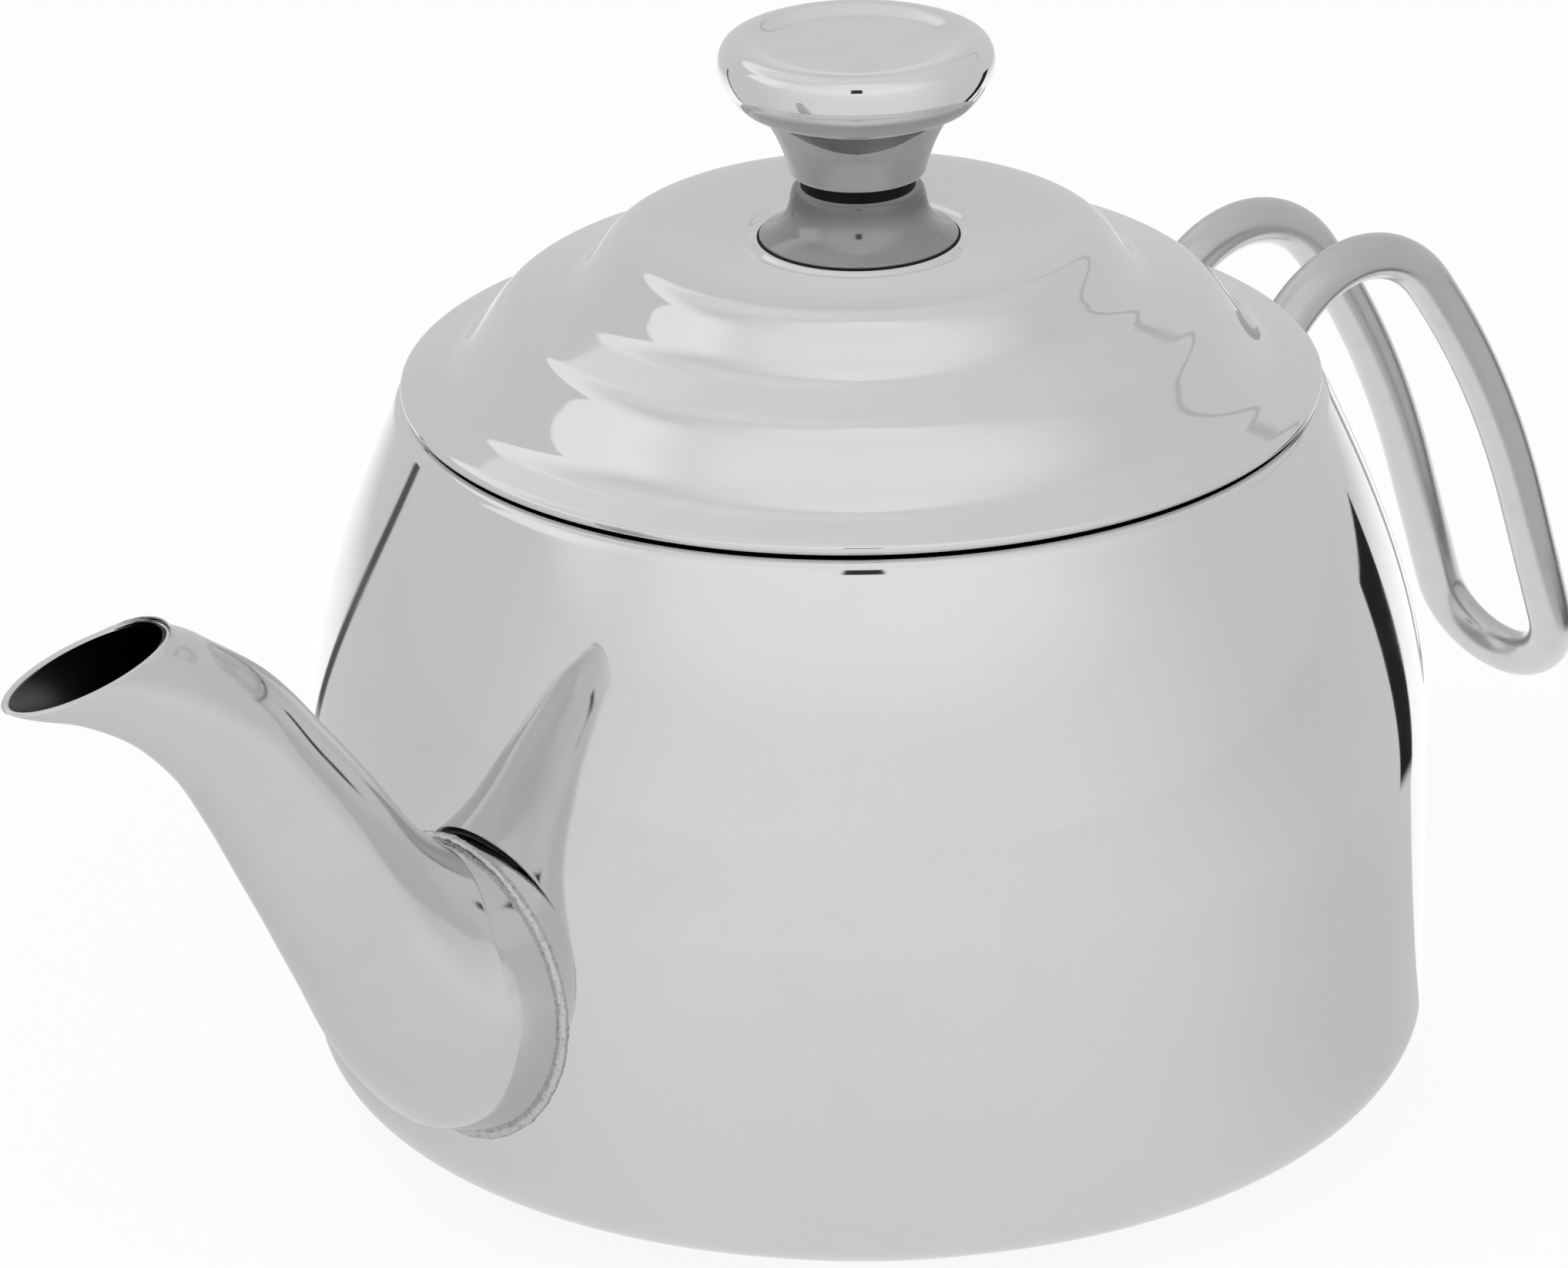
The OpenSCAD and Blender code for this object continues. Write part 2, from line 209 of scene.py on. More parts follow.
def weld_metal(name, tone):
    """Weld metal left as laid: small ripples, pits and a duller shine."""
    board, shader, mat = finish_of(name, {"Metallic": 1.0})
    at = board.place()
    lumps = board.grain(at, 700, 3, 0.6)
    pits = board.grain(at, 1800, 2, 0.5)
    rough = 0.30 + lumps * 0.2
    colour = board.mix(board.ease(pits, 0.5, 0.75) * 0.7, tone, (0.34, 0.33, 0.32, 1))
    feed(board, shader, Base_Color=colour, Roughness=rough,
         Normal=board.bumps(lumps + pits * 0.3, 0.00009))
    return mat


def black_seal(name):
    board, shader, mat = finish_of(name, {"Metallic": 0.0, "Specular IOR Level": 0.08})
    at = board.place()
    dust = board.grain(at, 700, 3, 0.6)
    colour = board.mix(dust, (0.004, 0.004, 0.004, 1), (0.012, 0.012, 0.012, 1))
    feed(board, shader, Base_Color=colour, Roughness=0.45 + dust * 0.25,
         Normal=board.bumps(dust, 0.00005))
    return mat


def core_metal(name):
    board, shader, mat = finish_of(name, {"Metallic": 1.0})
    at = board.place()
    grain = board.grain(at, 300, 3, 0.6)
    colour = board.mix(grain, (0.55, 0.56, 0.57, 1), (0.7, 0.71, 0.72, 1))
    feed(board, shader, Base_Color=colour, Roughness=0.4 + grain * 0.2)
    return mat


STEEL = (0.70, 0.70, 0.705, 1)
pot_steel = polished("pot_steel", STEEL, 0.035)
lid_steel = polished("lid_steel", STEEL, 0.03)
spout_steel = polished("spout_steel", (0.64, 0.64, 0.645, 1), 0.07, 0.07)
# the knob head's stem and the underside of its disc carry painted shade, with a painted lens of
# shade at the front under the disc
knob_head_steel = turned_steel("knob_head_steel", (0.72, 0.72, 0.725, 1), 0.03,
                               0.1303, 0.1295, 0.42, (0.1242, 0.1266))
# the collar's dark tone and its darker top are painted shade, standing for the shade and dark
# reflection under the knob's head
collar_painted_shade_steel = turned_steel("collar_painted_shade_steel", (0.30, 0.30, 0.305, 1), 0.12, 0.1125, 0.1160, 0.55)
foot_steel = polished("foot_steel", STEEL, 0.07, 0.08)
inside_steel = polished("inside_steel", (0.50, 0.50, 0.505, 1), 0.25, 0.1)
# the spout's inside is painted near black: painted shade in the throat
throat_painted_shade = polished("throat_painted_shade", (0.10, 0.10, 0.10, 1), 0.35, 0.1)
rod_steel = satin("rod_steel", (0.54, 0.54, 0.545, 1), 0.22)
bead_steel = weld_metal("bead_steel", (0.60, 0.60, 0.60, 1))
seal = black_seal("black_seal")
core = core_metal("core_metal")


# ---- shape helpers -------------------------------------------------------

def add_mesh(name, points, faces, looks, body, stands_for, smooth_angle=40, face_looks=None):
    """Makes a piece from points in mm, gives it its looks and sets it on its body."""
    mesh = bpy.data.meshes.new(name)
    mesh.from_pydata([(x * MM, y * MM, z * MM) for x, y, z in points], [], faces)
    mesh.validate()
    bm = bmesh.new()
    bm.from_mesh(mesh)
    bmesh.ops.recalc_face_normals(bm, faces=bm.faces)
    bm.to_mesh(mesh)
    bm.free()
    for look in looks:
        mesh.materials.append(look)
    if face_looks:
        for poly, look in zip(mesh.polygons, face_looks):
            poly.material_index = look
    mesh.shade_smooth()
    mesh.set_sharp_from_angle(angle=math.radians(smooth_angle))
    obj = bpy.data.objects.new(name, mesh)
    bpy.context.scene.collection.objects.link(obj)
    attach(obj, body)
    if stands_for:
        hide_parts(*stands_for)
    return obj


def bez(p, t):
    u = 1 - t
    return tuple(u ** 3 * a + 3 * t * u * u * b + 3 * t * t * u * c + t ** 3 * d
                 for a, b, c, d in zip(*p))


def bez_run(p, n):
    return [bez(p, i / n) for i in range(1, n + 1)]


def arc_run(c, r, a0, a1, n):
    out = []
    for i in range(1, n + 1):
        a = math.radians(a0 + (a1 - a0) * i / n)
        out.append((c[0] + r * math.cos(a), c[1] + r * math.sin(a)))
    return out


def line_run(a, b, n):
    return [tuple(p + (q - p) * i / n for p, q in zip(a, b)) for i in range(1, n + 1)]


def beside(path, t):
    """The path moved t to its right."""
    out = []
    for i in range(len(path)):
        a, b = path[max(i - 1, 0)], path[min(i + 1, len(path) - 1)]
        dx, dz = b[0] - a[0], b[1] - a[1]
        n = math.hypot(dx, dz)
        out.append((path[i][0] + t * dz / n, path[i][1] - t * dx / n))
    return out


def ring_faces(rings, sides, first=0, closed=False):
    """Four-sided faces between neighbouring rings of points, numbered from first."""
    out = []
    for i in range(rings if closed else rings - 1):
        a, b = first + i * sides, first + (i + 1) % rings * sides
        out += [(a + k, a + (k + 1) % sides, b + (k + 1) % sides, b + k) for k in range(sides)]
    return out


def cut_away(obj, cut, name):
    """Takes the solid in the bmesh cut out of a piece."""
    mesh = bpy.data.meshes.new(name)
    cut.to_mesh(mesh)
    cut.free()
    tool = bpy.data.objects.new(name, mesh)
    bpy.context.scene.collection.objects.link(tool)
    way = obj.modifiers.new(name, "BOOLEAN")
    way.operation, way.solver, way.object = "DIFFERENCE", "MANIFOLD", tool
    obj.data = bpy.data.meshes.new_from_object(
        obj.evaluated_get(bpy.context.evaluated_depsgraph_get()))
    obj.modifiers.clear()
    bpy.data.objects.remove(tool)


def lathe(name, outline, looks, body, stands_for, steps=256, look_of=None, wobble=None, angle=40):
    """Turns a closed outline of (radius, height) in mm about the Z axis."""
    points, rows, faces, face_looks = [], [], [], []
    for r, z in outline:
        if r < 1e-6:
            rows.append([len(points)])
            points.append((0, 0, z))
            continue
        rows.append(range(len(points), len(points) + steps))
        for k in range(steps):
            a = 2 * math.pi * k / steps
            dr = wobble(a, r, z) if wobble else 0
            points.append(((r + dr) * math.cos(a), (r + dr) * math.sin(a), z))
    count = len(outline)
    for i in range(count):
        a, b = rows[i], rows[(i + 1) % count]
        if len(a) == 1 and len(b) == 1:
            continue
        look = look_of(i) if look_of else 0
        for k in range(steps):
            m = (k + 1) % steps
            if len(a) == 1:
                faces.append((a[0], b[k], b[m]))
            elif len(b) == 1:
                faces.append((a[k], b[0], a[m]))
            else:
                faces.append((a[k], b[k], b[m], a[m]))
            face_looks.append(look)
    return add_mesh(name, points, faces, looks, body, stands_for, angle, face_looks)


# ---- sizes, as in the part -----------------------------------------------

pot_r, sheet, seat_z, mouth_r, corner_r = 69.7, 0.8, 90.9, 46.4, 7.5
foot_r, foot_h, cap_sheet = 58.0, 3.8, 0.6
side_top, rim_r, roll_r = 46.0, 57.3, 2.2

shoulder = [(pot_r, side_top), (pot_r, 62.0), (62.0, 79.0), (rim_r, seat_z - 1.5)]
brow = [shoulder[3], (rim_r - 0.4, seat_z - 0.6), (rim_r - 0.9, seat_z), (rim_r - 2, seat_z)]
pot_path = ([(0.0, foot_h)] + line_run((0, foot_h), (pot_r - corner_r, foot_h), 12)
            + arc_run((pot_r - corner_r, foot_h + corner_r), corner_r, -90, 0, 24)
            + line_run((pot_r, foot_h + corner_r), shoulder[0], 24) + bez_run(shoulder, 56)
            + bez_run(brow, 14) + line_run(brow[3], (mouth_r + roll_r, seat_z), 4)
            + arc_run((mouth_r + roll_r, seat_z - roll_r), roll_r, 90, 180, 8)
            + [(mouth_r, seat_z - 5.6)])


def pot_r_at(z):
    run = [p for p in pot_path if p[0] > rim_r - 1 and p[1] < seat_z - 1]
    for a, b in zip(run, run[1:]):
        if a[1] <= z <= b[1]:
            return a[0] + (b[0] - a[0]) * (z - a[1]) / max(b[1] - a[1], 1e-9)
    return run[0][0] if z < run[0][1] else run[-1][0]


# ---- pot and foot --------------------------------------------------------

inner_path = beside(pot_path, -sheet)
inner_path[0] = (0.0, foot_h + sheet)
pot_outline = pot_path + inner_path[::-1]
pot = lathe("pot_shell", pot_outline, [pot_steel, inside_steel], "pot", ["body_shell"], 288,
            look_of=lambda i: 0 if i < len(pot_path) - 1 else 1)

root_z, root_high, root_wide = 33.7, 18.7, 16.3
strainer_d, strainer_pitch, drill_x, drill_long = 3.0, 5.2, -66.0, 14.0
cut = bmesh.new()
for q in range(-2, 3):
    for s in range(-2, 3):
        if abs(q + s) <= 2:
            y = strainer_pitch * (q + s / 2)
            z = root_z + strainer_pitch * s * math.sqrt(3) / 2
            bmesh.ops.create_cone(
                cut, cap_ends=True, segments=20, radius1=strainer_d / 2 * MM,
                radius2=strainer_d / 2 * MM, depth=drill_long * MM,
                matrix=Matrix.Translation((drill_x * MM, y * MM, z * MM))
                @ Matrix.Rotation(math.pi / 2, 4, "Y"))
cut_away(pot, cut, "strainer_cut")

edge_r = 1.2
cap_outline = ([(0.0, 0.0)] + line_run((0, 0), (foot_r - edge_r, 0), 8)
               + arc_run((foot_r - edge_r, edge_r), edge_r, -90, 0, 10)
               + line_run((foot_r, edge_r), (foot_r, foot_h - 0.3), 4)
               + arc_run((foot_r - 0.3, foot_h - 0.3), 0.3, 0, 90, 4)
               + [(foot_r - cap_sheet, foot_h), (foot_r - cap_sheet, edge_r)]
               + arc_run((foot_r - edge_r, edge_r), edge_r - cap_sheet, 0, -90, 5)
               + [(0.0, cap_sheet)])
lathe("foot_cap", cap_outline, [foot_steel], "pot", ["base_cap"], 256)


# ---- spout ---------------------------------------------------------------

# middle x and z, half width along the tilt and across, and tilt in degrees
spout_table = [
    (-122.9, 92.1, 11.8, 5.8, 9.5),
    (-119.0, 90.4, 8.2, 6.2, 29.4),
    (-112.0, 86.1, 7.4, 7.2, 44.5),
    (-103.9, 78.9, 8.15, 8.2, 44.7),
    (-97.7, 70.6, 8.85, 8.8, 34.6),
    (-92.1, 62.1, 9.8, 9.75, 33.3),
    (-86.1, 52.4, 10.7, 10.8, 35.2),
    (-80.7, 44.4, 12.7, 12.9, 50.0),
    (-75.9, 35.8, 17.3, 15.8, 84.0)]
spout_sheet = 0.9


def smooth4(a, b, c, d, t):
    return tuple(0.5 * (2 * q + (r - p) * t + (2 * p - 5 * q + 4 * r - s) * t * t
                        + (3 * q - p - 3 * r + s) * t ** 3) for p, q, r, s in zip(a, b, c, d))


def smooth_rows(tab, n):
    def row(j): return tab[min(max(j, 0), len(tab) - 1)]
    out = [smooth4(row(j - 1), row(j), row(j + 1), row(j + 2), k / n)
           for j in range(len(tab) - 1) for k in range(n)]
    return out + [tab[-1]]


SIDES = 96
spout_rows = smooth_rows(spout_table, 8)


def spout_ring(s, t):
    tilt = math.radians(s[4])
    out = []
    for k in range(SIDES):
        a = 2 * math.pi * k / SIDES
        u, v = (s[2] - t) * math.cos(a), (s[3] - t) * math.sin(a)
        out.append((s[0] + u * math.cos(tilt), v, s[1] + u * math.sin(tilt)))
    return out


def root_ring(t):
    out = []
    for k in range(SIDES):
        a = 2 * math.pi * k / SIDES
        z = root_z + (root_high - t) * math.cos(a)
        y = (root_wide - t) * math.sin(a)
        out.append((-math.sqrt(pot_r_at(z) ** 2 - y * y), y, z))
    return out


def between(a, b, t):
    return [tuple(p + (q - p) * t for p, q in zip(u, v)) for u, v in zip(a, b)]


def spout_side(t):
    rings = [spout_ring(s, t) for s in spout_rows]
    last, root = rings[-1], root_ring(t)
    return rings + [between(last, root, i / 4) for i in range(1, 5)]


outer, inner = spout_side(0), spout_side(spout_sheet)
lip = [[tuple(p + (q - p) * (0.5 - 0.5 * math.cos(math.pi * i / 4)) + lift
              for p, q, lift in zip(a, b, (0, 0, 0.2 * math.sin(math.pi * i / 4))))
        for a, b in zip(outer[0], inner[0])] for i in range(1, 4)]
loops = outer[::-1] + lip + inner
points = [p for ring in loops for p in ring]
inner_from = len(outer) + len(lip)
add_mesh("spout_tube", points, ring_faces(len(loops), SIDES, closed=True),
         [spout_steel, throat_painted_shade], "pot", ["spout"], 50,
         [1 if i >= inner_from else 0 for i in range(len(loops)) for _ in range(SIDES)])


def bead_run(name, path, outward, radius, body, stands_for, lump=0.25, sides=14, closed=True):
    """A rough weld bead along a path, sat into the surface it joins."""
    pts, n = [], len(path)
    for i in range(n):
        a = Vector(path[(i - 1) % n] if closed or i else path[0])
        b = Vector(path[(i + 1) % n] if closed or i < n - 1 else path[-1])
        d = (b - a).normalized()
        w = Vector(outward[i])
        s = d.cross(w).normalized()
        w = s.cross(d)
        c = Vector(path[i])
        for k in range(sides):
            g = 2 * math.pi * k / sides
            here = c + radius * (math.cos(g) * s + math.sin(g) * w)
            f = noise.fractal(here * 0.9, 0.8, 2.1, 4)
            step = 0.12 * math.sin(i * 2.4)
            pts.append(tuple(c + radius * (1 + lump * f + step * max(math.sin(g), 0))
                             * (math.cos(g) * s + 0.8 * math.sin(g) * w)))
    quads = ring_faces(n, sides, closed=closed)
    return add_mesh(name, pts, quads, [bead_steel], body, stands_for, 60)


bead_path, bead_out = [], []
for k in range(420):
    a = 2 * math.pi * k / 420
    z = root_z + (root_high + 0.15) * math.cos(a)
    y = (root_wide + 0.15) * math.sin(a)
    r = pot_r_at(z) + 0.12
    bead_path.append((-math.sqrt(r * r - y * y), y, z))
    bead_out.append((-math.sqrt(r * r - y * y) / r, y / r, 0.0))
bead_run("spout_bead", bead_path, bead_out, 0.68, "pot", ["spout_weld"], 0.2)


# ---- handle --------------------------------------------------------------

rod_r, limb_gap, arch_r, sweep_r = 3.0, 19.8, 19.1, 124.0
arch_mid = (79.9, 68.4)
arch_start, arch_end, sweep_end, tail, base_len = 140.0, 38.3, 19.2, 20.0, 5.0


def deg(a): return math.radians(a)


sweep_mid = (arch_mid[0] + (arch_r - sweep_r) * math.cos(deg(arch_end)),
             arch_mid[1] + (arch_r - sweep_r) * math.sin(deg(arch_end)))
base_dir = Vector((-math.sin(deg(arch_start)), 0, math.cos(deg(arch_start))))
tail_dir = Vector((math.sin(deg(sweep_end)), 0, -math.cos(deg(sweep_end))))


def limb_line():
    """Stations along one limb from the pot to the bend: middle and outward direction."""
    out = []

    def put(x, z, a):
        out.append((Vector((x, 0, z)), Vector((math.cos(deg(a)), 0, math.sin(deg(a))))))

    start = Vector((arch_mid[0] + arch_r * math.cos(deg(arch_start)), 0,
                    arch_mid[1] + arch_r * math.sin(deg(arch_start))))
    for i in range(5):
        p = start + base_dir * base_len * (1 - i / 5)
        put(p.x, p.z, arch_start)
    for i in range(41):
        a = arch_start + (arch_end - arch_start) * i / 40
        put(arch_mid[0] + arch_r * math.cos(deg(a)), arch_mid[1] + arch_r * math.sin(deg(a)), a)
    for i in range(1, 31):
        a = arch_end + (sweep_end - arch_end) * i / 30
        put(sweep_mid[0] + sweep_r * math.cos(deg(a)), sweep_mid[1] + sweep_r * math.sin(deg(a)), a)
    for i in range(1, 8):
        p = out[-1][0] + tail_dir * tail / 8
        put(p.x, p.z, sweep_end)
    return out


def rod():
    line = limb_line()
    stations = [(p + Vector((0, limb_gap / 2, 0)), e, Vector((0, 1, 0))) for p, e in line]
    last = line[-1][0] + tail_dir * tail / 8
    e = line[-1][1]
    for i in range(41):
        a = math.pi / 2 - math.pi * i / 40
        f = Vector((0, math.sin(a), 0)) + tail_dir * math.cos(a)
        stations.append((last + f * limb_gap / 2, e, f))
    stations += [(p - Vector((0, limb_gap / 2, 0)), e, Vector((0, -1, 0))) for p, e in line[::-1]]
    sides, pts = 40, []
    for i, (c, e, f) in enumerate(stations):
        ring = []
        for k in range(sides):
            g = 2 * math.pi * k / sides
            ring.append(c + rod_r * (math.cos(g) * e + math.sin(g) * f))
        if i in (0, len(stations) - 1):
            for _ in range(14):
                ring = [p + (math.hypot(p.x, p.y) - pot_r_at(p.z) - 0.03) * 0.7 * base_dir
                        for p in ring]
        pts += [tuple(p) for p in ring]
    n = len(stations)
    quads = ring_faces(n, sides)
    quads += [tuple(range(sides)), tuple(range((n - 1) * sides, n * sides))]
    return add_mesh("handle_bar", pts, quads, [rod_steel], "pot", ["handle_rod"], 60)


rod()


def root_fillet(name, side, node):
    """The weld fillet where a limb stands on the pot's shoulder."""
    foot = Vector((arch_mid[0] + arch_r * math.cos(deg(arch_start)), side * limb_gap / 2,
                   arch_mid[1] + arch_r * math.sin(deg(arch_start))))
    for _ in range(20):
        foot = foot + (math.hypot(foot.x, foot.y) - pot_r_at(foot.z)) * 0.7 * base_dir
    up = -base_dir
    e = Vector((-up.z, 0, up.x))
    f = Vector((0, 1, 0))
    profile = [(rod_r - 0.15, 1.9), (rod_r + 0.12, 1.3), (rod_r + 0.4, 0.7), (rod_r + 0.9, 0.25),
               (rod_r + 1.5, -0.1), (rod_r + 1.6, -0.7)]
    pts, sides = [], 64
    for r, h in profile:
        for k in range(sides):
            g = 2 * math.pi * k / sides
            d = math.cos(g) * e + math.sin(g) * f
            base = foot + d * r
            for _ in range(12):
                base = base + (math.hypot(base.x, base.y) - pot_r_at(base.z)) * 0.7 * base_dir
            bump = 0.25 * noise.fractal(base * 1.3, 0.8, 2.1, 3) + 0.06 * math.sin(k * 1.7)
            pts.append(tuple(base + up * (h + 0.2) + d * bump * (0.3 if h > 1.5 else 1)))
    return add_mesh(name, pts, ring_faces(len(profile), sides), [bead_steel], "pot", [node], 70)


root_fillet("handle_fillet_left", 1, "handle_weld_left")
root_fillet("handle_fillet_right", -1, "handle_weld_right")


# ---- lid -----------------------------------------------------------------

lid_r, lid_sheet, edge_z, top_z, screw_r, curl_r = 56.3, 0.8, 92.2, 110.1, 2.0, 1.0
seat_foot_z = top_z - 0.3
crown = [(14.6, 110.1), (18.6, 110.5), (24.5, 111.6), (28.3, 111.0)]
first_drop = [crown[3], (30.4, 110.6), (31.3, 108.8), (32.6, 107.1)]
first_foot = [first_drop[3], (33.8, 105.4), (34.7, 104.5), (36.2, 104.1)]
middle = (41.8, 102.8)
second_drop = [middle, (43.6, 102.4), (44.6, 100.9), (45.7, 99.4)]
second_foot = [second_drop[3], (47.3, 97.2), (48.9, 94.3), (51.2, 93.7)]
brim = (54.6, 93.0)
lip_curve = [brim, (55.6, 92.8), (lid_r, 92.7), (lid_r, edge_z)]
lid_path = ([(screw_r + 0.3, top_z)] + line_run((screw_r + 0.3, top_z), (12.6, top_z), 4)
            + bez_run([(12.6, top_z), (13.0, top_z), (13.0, seat_foot_z), (13.6, seat_foot_z)], 6)
            + line_run((13.6, seat_foot_z), crown[0], 3) + bez_run(crown, 24)
            + bez_run(first_drop, 18) + bez_run(first_foot, 18)
            + line_run(first_foot[3], middle, 8) + bez_run(second_drop, 18)
            + bez_run(second_foot, 22) + line_run(second_foot[3], brim, 6)
            + bez_run(lip_curve, 10) + arc_run((lid_r - curl_r, edge_z), curl_r, 0, -90, 10)
            + [(lid_r - 4.2, edge_z - curl_r)])
lid_outline = lid_path + beside(lid_path, lid_sheet)[::-1]
lathe("lid_dish", lid_outline, [lid_steel, inside_steel], "lid", ["lid_shell"], 288,
      look_of=lambda i: 0 if i < len(lid_path) - 1 else 1)

ring_r, ring_sheet, ring_low, ring_top = 45.9, 0.8, seat_z - 8, 98.6
ring_outline = ([(ring_r - ring_sheet, ring_top), (ring_r, ring_top - 1.0)]
                + line_run((ring_r, ring_top - 1.0), (ring_r, ring_low + 0.4), 10)
                + arc_run((ring_r - 0.4, ring_low + 0.4), 0.4, 0, -180, 8)
                + line_run((ring_r - 0.8, ring_low + 0.4), (ring_r - 0.8, ring_top - 0.1), 10))
lathe("lid_ring", ring_outline, [inside_steel], "lid", ["lid_locating_ring"], 256)


def spot_welds():
    """Six flattened beads in the corner between ring and lid."""
    pts, quads = [], []
    for n in range(6):
        g = deg(30 + 60 * n)
        c = Vector(((ring_r - ring_sheet - 0.9) * math.cos(g),
                    (ring_r - ring_sheet - 0.9) * math.sin(g), ring_top - 0.5))
        first, sides = len(pts), 16
        for i in range(7):
            h = -math.pi / 2 + math.pi * i / 6
            for k in range(sides):
                a = 2 * math.pi * k / sides
                d = Vector((math.cos(h) * math.cos(a), math.cos(h) * math.sin(a),
                            0.75 * math.sin(h)))
                lump = 1 + 0.12 * noise.fractal((c + d) * 1.5, 0.8, 2, 2)
                pts.append(tuple(c + d * 0.88 * lump))
        quads += ring_faces(7, sides, first)
    add_mesh("lid_spot_welds", pts, quads, [bead_steel], "lid", ["lid_ring_welds"], 80)


spot_welds()


# ---- knob ----------------------------------------------------------------

collar_r, knob_r = 12.1, 16.8
collar_z, collar_top, gap_top = top_z + 0.3, 116.7, 118.5
under_z, bore_top = seat_foot_z - lid_sheet, 128.0

lathe("knob_seal", [(screw_r + 0.3, top_z), (collar_r + 0.15, top_z),
                    (collar_r + 0.3, top_z + 0.1), (collar_r + 0.3, top_z + 0.2),
                    (collar_r + 0.15, collar_z), (screw_r + 0.3, collar_z)],
      [seal], "lid", ["knob_foot_gasket"], 128)

collar_outline = ([(screw_r + 0.2, collar_z), (collar_r - 0.1, collar_z)]
                  + arc_run((collar_r - 0.15, collar_z + 0.15), 0.15, -90, 80, 5)
                  + bez_run([(collar_r - 0.12, collar_z + 0.3), (10.4, collar_z + 1.0),
                             (8.7, collar_z + 2.1), (8.3, 115.2)], 24)
                  + bez_run([(8.3, 115.2), (8.2, 115.9), (8.15, collar_top), (7.6, collar_top)], 8)
                  + [(screw_r + 0.2, collar_top)])
lathe("knob_foot", collar_outline, [collar_painted_shade_steel], "lid", ["knob_collar"], 192)

lathe("knob_spacer", [(screw_r + 0.2, collar_top), (6.9, collar_top), (7, collar_top + 0.1),
                      (7, gap_top - 0.1), (6.9, gap_top), (screw_r + 0.2, gap_top)],
      [seal], "lid", ["knob_insulator"], 96)

head_outline = ([(screw_r, gap_top), (7.6, gap_top)]
                + bez_run([(7.6, gap_top), (8.0, gap_top), (8.2, gap_top + 0.15),
                           (8.3, gap_top + 0.4)], 8)
                + bez_run([(8.3, gap_top + 0.4), (8.8, 121.1), (9.9, 124.1), (11.9, 126.5)], 28)
                + bez_run([(11.9, 126.5), (12.0, 126.7), (11.9, 127.0), (12.0, 127.1)], 4)
                + line_run((12.0, 127.1), (13.8, 127.5), 4)
                + bez_run([(13.8, 127.5), (14.6, 127.7), (15.7, 129.0), (16.3, 130.4)], 14)
                + bez_run([(16.3, 130.4), (knob_r, 131.7), (knob_r + 0.1, 133.1),
                           (16.4, 134.1)], 16)
                + bez_run([(16.4, 134.1), (16, 135.1), (14.9, 135.5), (13.7, 135.4)], 12)
                + bez_run([(13.7, 135.4), (12.2, 135.2), (11.6, 134.7), (10.2, 134.6)], 12)
                + line_run((10.2, 134.6), (0, 134.6), 8)
                + [(0.0, bore_top), (screw_r, bore_top)])
lathe("knob_turned", head_outline, [knob_head_steel], "lid", ["knob_head"], 224)

washer_low = under_z - 0.8
lathe("screw_washer", [(screw_r + 0.2, washer_low), (4.9, washer_low), (5, washer_low + 0.12),
                       (5, under_z - 0.12), (4.9, under_z), (screw_r + 0.2, under_z)],
      [foot_steel], "lid", ["knob_screw_washer"], 96)


def screw():
    """Slotted cheese-head screw with a rolled thread, slot drawn as a cut across the head."""
    low, top = washer_low - 2.6, bore_top - 0.5
    half, deep = 0.5, 1.2
    shank = [(screw_r - 0.15 * (i % 2), washer_low + (top - washer_low) * i / 44)
             for i in range(45)]
    profile = [(0.0, low), (2.9, low), (3.1, low + 0.05), (3.8, low + 1.0), (3.8, washer_low - 0.1),
               (3.7, washer_low), (screw_r, washer_low)] + shank[1:] + [(0.0, top)]
    obj = lathe("knob_screw_body", profile, [foot_steel], "lid", ["knob_screw"], 64)
    cut = bmesh.new()
    bmesh.ops.create_cube(
        cut, size=1.0, matrix=Matrix.Translation((0, 0, (low + deep / 2 - 0.5) * MM))
        @ Matrix.Diagonal((9 * MM, 2 * half * MM, (deep + 1) * MM, 1)))
    cut_away(obj, cut, "slot_cut")


screw()
# the polished lid keeps clear of the knob's mirror image
for piece_name in ("knob_seal", "knob_foot", "knob_spacer", "knob_turned", "knob_screw_body"):
    bpy.data.objects[piece_name].visible_glossy = False

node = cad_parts["base_core"]
node.data.materials.clear()
node.data.materials.append(core)


# ---- camera --------------------------------------------------------------



def turned(x, y, z=0.0):
    """A direction given with the camera looking along +Y, in the part's own axes."""
    return Vector((x * math.cos(TURN) - y * math.sin(TURN),
                   x * math.sin(TURN) + y * math.cos(TURN), z))


cam_back, cam_high, pitch, yaw, roll = 855.0, 424.7, 23.23, -0.67, -1.10
lens_px, picture_px = 9736.0, 2036
fwd = turned(math.sin(deg(yaw)) * math.cos(deg(pitch)), math.cos(deg(yaw)) * math.cos(deg(pitch)),
             -math.sin(deg(pitch)))
right = turned(math.cos(deg(yaw)), -math.sin(deg(yaw)))
up = right.cross(fwd)
right, up = (right * math.cos(deg(roll)) + up * math.sin(deg(roll)),
             up * math.cos(deg(roll)) - right * math.sin(deg(roll)))
cam_data = bpy.data.cameras.new("camera")
cam_data.sensor_width, cam_data.sensor_fit = 36.0, "HORIZONTAL"
cam_data.lens = cam_data.sensor_width * lens_px / picture_px
cam_data.clip_start, cam_data.clip_end = 0.05, 50
camera = bpy.data.objects.new("camera", cam_data)
bpy.context.scene.collection.objects.link(camera)
place = Matrix((right, up, -fwd)).transposed().to_4x4()
place.translation = turned(0, -cam_back, cam_high) * MM
camera.matrix_world = place
bpy.context.scene.camera = camera
bpy.context.scene.view_settings.view_transform = "Standard"


# ---- floor ---------------------------------------------------------------

def stage_mesh(name, points, faces, material):
    mesh = bpy.data.meshes.new(name)
    mesh.from_pydata([tuple(p) for p in points], [], faces)
    mesh.materials.append(material)
    obj = bpy.data.objects.new(name, mesh)
    bpy.context.scene.collection.objects.link(obj)
    return obj


